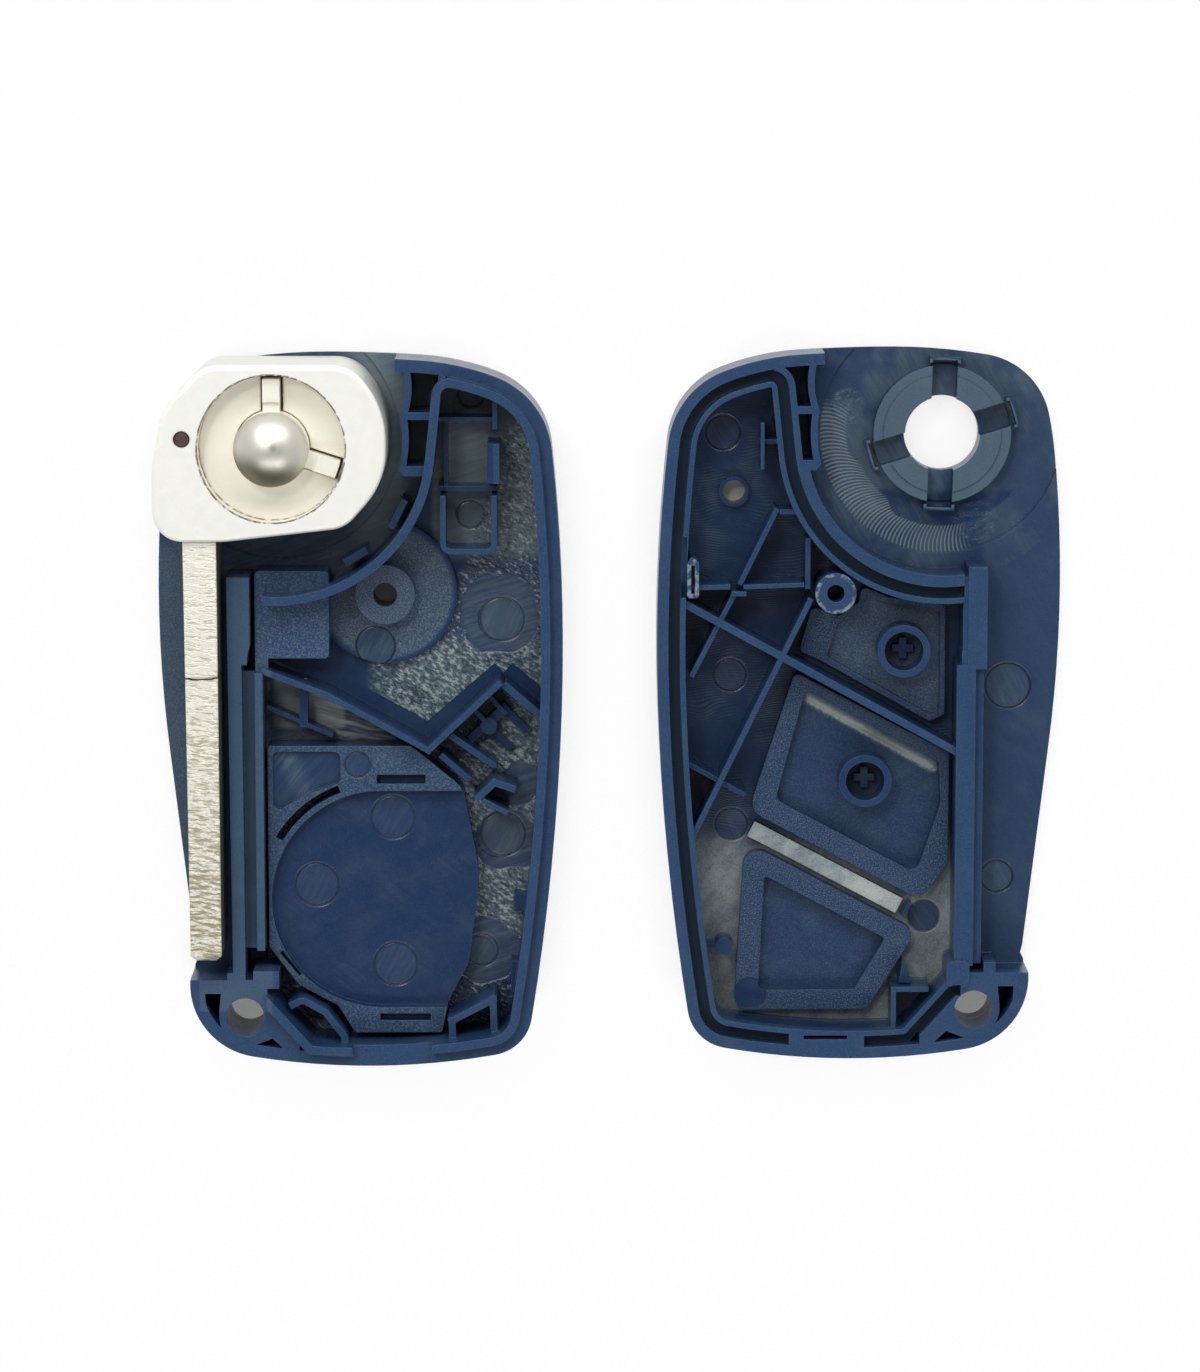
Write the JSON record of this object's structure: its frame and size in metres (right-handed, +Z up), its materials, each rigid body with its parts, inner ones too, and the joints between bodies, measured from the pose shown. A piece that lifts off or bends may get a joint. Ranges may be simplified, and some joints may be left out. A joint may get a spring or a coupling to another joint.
{
  "type": "key fob shell",
  "caption": "Empty car key fob shell laid open: back half with folding key, release button and battery tray, front half with button caps",
  "frame": {"origin": "middle of the laid-out set on the table, at the level that both halves rest on", "axes": "+X from the back half to the front half, +Y towards the key's head end, +Z up out of the open halves"},
  "size_m": [0.0908, 0.072, 0.016],
  "materials": {
    "shell_plastic": "satin",
    "cap_plastic": "fine grain",
    "plated_casting": "plated casting",
    "blade_metal": "milled",
    "pin_steel": "dull",
    "button_chrome": "polished",
    "spring_steel": "drawn wire"
  },
  "bodies": {
    "shell": {"back_shell": "shell_plastic", "battery_tray": "shell_plastic", "front_shell": "shell_plastic"},
    "key": {"key_head": "plated_casting", "key_blade": "blade_metal", "blade_pin": "pin_steel", "hub_spring": "spring_steel"},
    "release": {"release_button": "button_chrome"},
    "cap_top": {"button_cap_top": "cap_plastic"},
    "cap_middle": {"button_cap_middle": "cap_plastic"},
    "cap_bottom": {"button_cap_bottom": "cap_plastic"}
  },
  "joints": [
    {"name": "key_flip", "type": "hinge", "parent": "shell", "child": "key", "pos_m": [-0.03327, 0.02692, 0], "axis": [0, 0, -1], "range_deg": [0, 180]},
    {"name": "release_press", "type": "slide", "parent": "key", "child": "release", "axis": [0, 0, -1], "range_m": [0, 0.002], "stiffness_N_per_m": 300, "springref_m": -0.003, "deforming": ["hub_spring"]},
    {"name": "cap_top_press", "type": "slide", "parent": "shell", "child": "cap_top", "axis": [0, 0, 1], "range_m": [0, 0.0005]},
    {"name": "cap_middle_press", "type": "slide", "parent": "shell", "child": "cap_middle", "axis": [0, 0, 1], "range_m": [0, 0.0005]},
    {"name": "cap_bottom_press", "type": "slide", "parent": "shell", "child": "cap_bottom", "axis": [0, 0, 1], "range_m": [0, 0.0005]}
  ]
}
